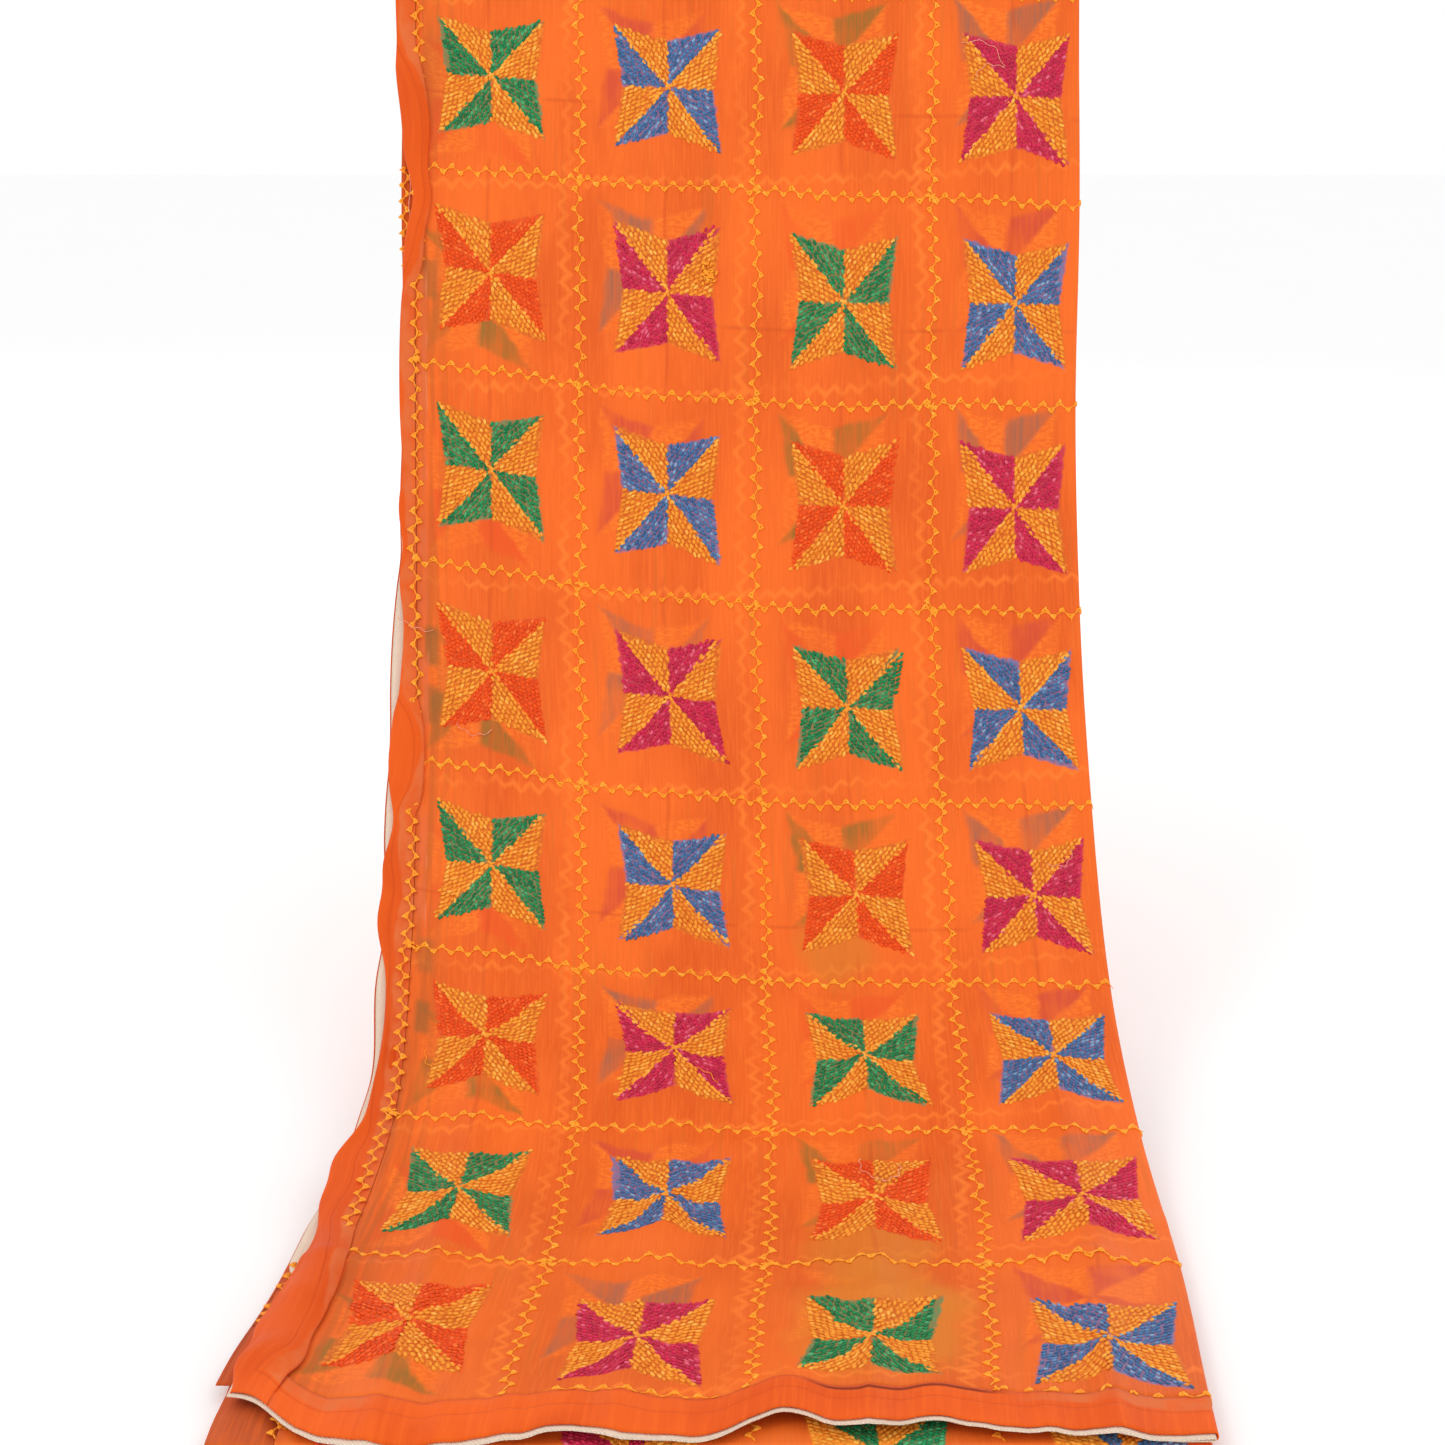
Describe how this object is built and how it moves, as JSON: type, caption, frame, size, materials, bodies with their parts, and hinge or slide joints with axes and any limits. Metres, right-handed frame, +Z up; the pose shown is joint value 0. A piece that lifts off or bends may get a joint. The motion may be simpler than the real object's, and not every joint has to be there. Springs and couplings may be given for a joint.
{
  "type": "phulkari shawl",
  "caption": "Long sheer shawl with stitched star motifs in a grid, folded lengthwise, hung double over a plain rod and trailing onto the floor.",
  "frame": {"origin": "middle of the rod's axis, over which the cloth hangs", "axes": "+Z up, +X along the rod towards the cloth's lengthwise fold, -Y towards the viewer, where the front half trails onto the floor"},
  "size_m": [0.54, 0.7194, 0.6886],
  "materials": {
    "ground_cloth": "sheer crepe, orange",
    "ground_cloth_rear": "sheer crepe, orange",
    "border_front": "plain crepe, orange",
    "border_back_layer": "plain crepe, orange",
    "border_hem": "plain crepe, orange",
    "tape_hem": "woven tape, cream",
    "tape_long": "woven tape, cream",
    "border_rear_inner": "plain crepe, orange",
    "border_rear_outer": "plain crepe, orange",
    "border_rear_hem": "plain crepe, orange",
    "rod_wood": "smooth, waxed"
  },
  "bodies": {
    "root": {"front_fall": "ground_cloth", "rear_fall": "ground_cloth_rear", "front_long_border": "border_front", "back_layer_long_border": "border_back_layer", "front_hem_border": "border_hem", "front_hem_tape": "tape_hem", "back_layer_tape": "tape_long", "rear_inner_long_border": "border_rear_inner", "rear_outer_long_border": "border_rear_outer", "rear_hem_border": "border_rear_hem", "hanging_rod": "rod_wood"}
  },
  "joints": []
}
